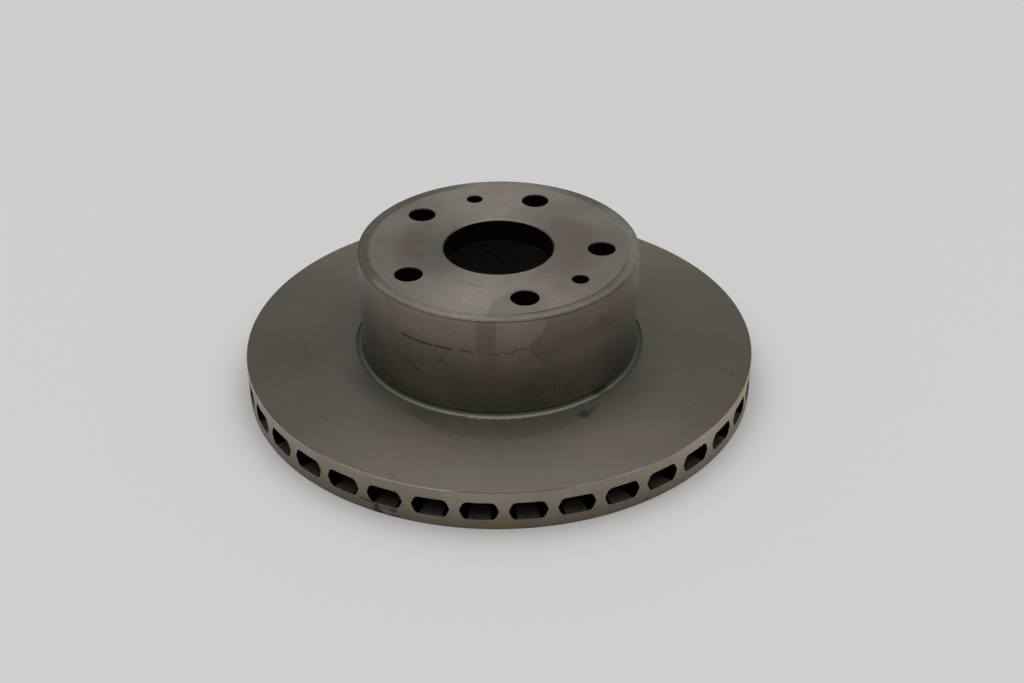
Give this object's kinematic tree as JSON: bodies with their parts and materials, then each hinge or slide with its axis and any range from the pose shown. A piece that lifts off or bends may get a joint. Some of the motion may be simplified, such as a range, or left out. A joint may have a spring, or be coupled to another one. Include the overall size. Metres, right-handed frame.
{
  "type": "brake disc",
  "caption": "Ventilated brake disc: deep turned hat with centring bore and bolt holes over two friction plates joined by radial vanes, cast in one piece.",
  "frame": {"origin": "on the disc's axis, at the inboard friction face that it rests on", "axes": "+Z along the axis towards the wheel mounting face; the first wheel bolt hole is at -Y"},
  "size_m": [0.272, 0.272, 0.0782],
  "materials": {
    "cast_iron": "turned grey cast iron, dull, lightly stained"
  },
  "bodies": {
    "root": {"brake_disc": "cast_iron"}
  },
  "joints": []
}
